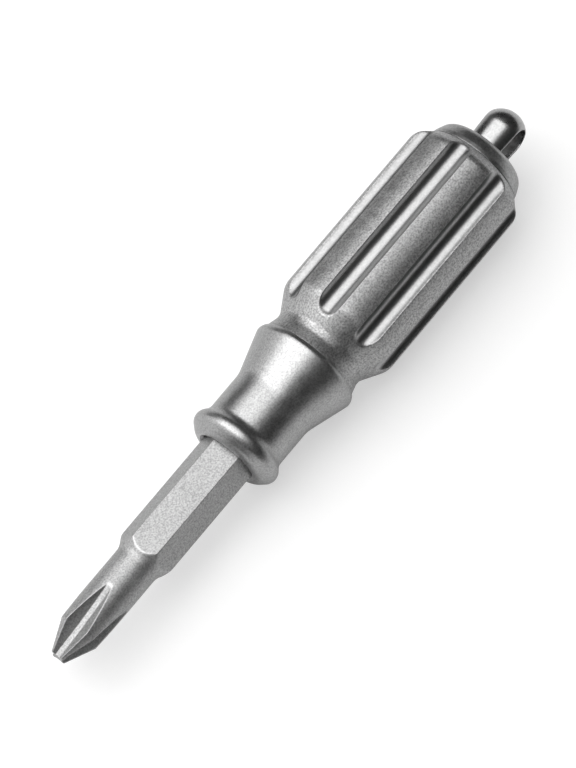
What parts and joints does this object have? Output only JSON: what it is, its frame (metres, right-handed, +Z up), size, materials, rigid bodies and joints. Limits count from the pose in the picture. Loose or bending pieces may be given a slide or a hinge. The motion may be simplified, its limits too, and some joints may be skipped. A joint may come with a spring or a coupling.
{
  "type": "pocket screwdriver",
  "caption": "Pocket screwdriver: a cross-tip hex bit in a turned steel nose, a fluted grip that stores a spare bit, a screw-off end cap and a swivelling key-ring eye.",
  "frame": {"origin": "middle of the driver's length and width, on the plane that the grip stands on", "axes": "+X along the driver from the tip to the key-ring eye, +Y along the hole of the eye, +Z up"},
  "size_m": [0.0866, 0.0156, 0.0156],
  "materials": {
    "blasted_steel": "bead-blasted satin stainless steel",
    "bit_steel": "sand-blasted tool steel",
    "eye_steel": "tumbled satin stainless steel",
    "spring_steel": "bright spring steel",
    "magnet_plating": "nickel plating",
    "seal_rubber": "smooth nitrile rubber"
  },
  "bodies": {
    "handle": {"nose_collar": "blasted_steel", "grip": "blasted_steel", "bit_catch_ring": "spring_steel", "bit_magnet": "magnet_plating", "magnet_cup": "eye_steel", "spare_bit": "bit_steel"},
    "bit": {"driver_bit": "bit_steel"},
    "seal": {"cap_seal_ring": "seal_rubber"},
    "cap": {"end_cap": "blasted_steel", "eye_thrust_washer": "spring_steel"},
    "eye": {"key_ring_eye": "eye_steel", "eye_retaining_clip": "spring_steel"}
  },
  "joints": [
    {"name": "bit_slide", "type": "slide", "parent": "handle", "child": "bit", "axis": [-1, 0, 0], "range_m": [0, 0.022]},
    {"name": "cap_lift", "type": "slide", "parent": "handle", "child": "seal", "axis": [1, 0, 0], "range_m": [0, 0.006]},
    {"name": "cap_turn", "type": "hinge", "parent": "seal", "child": "cap", "pos_m": [0, 0, 0.00781], "axis": [1, 0, 0], "range_deg": [0, 2160]},
    {"name": "eye_swivel", "type": "hinge", "parent": "cap", "child": "eye", "pos_m": [0.04034, 0, 0.00781], "axis": [1, 0, 0], "continuous": true}
  ],
  "couplings": [
    {"joint": "cap_lift", "follows": "cap_turn", "m_per_rad": 0.00015915}
  ]
}
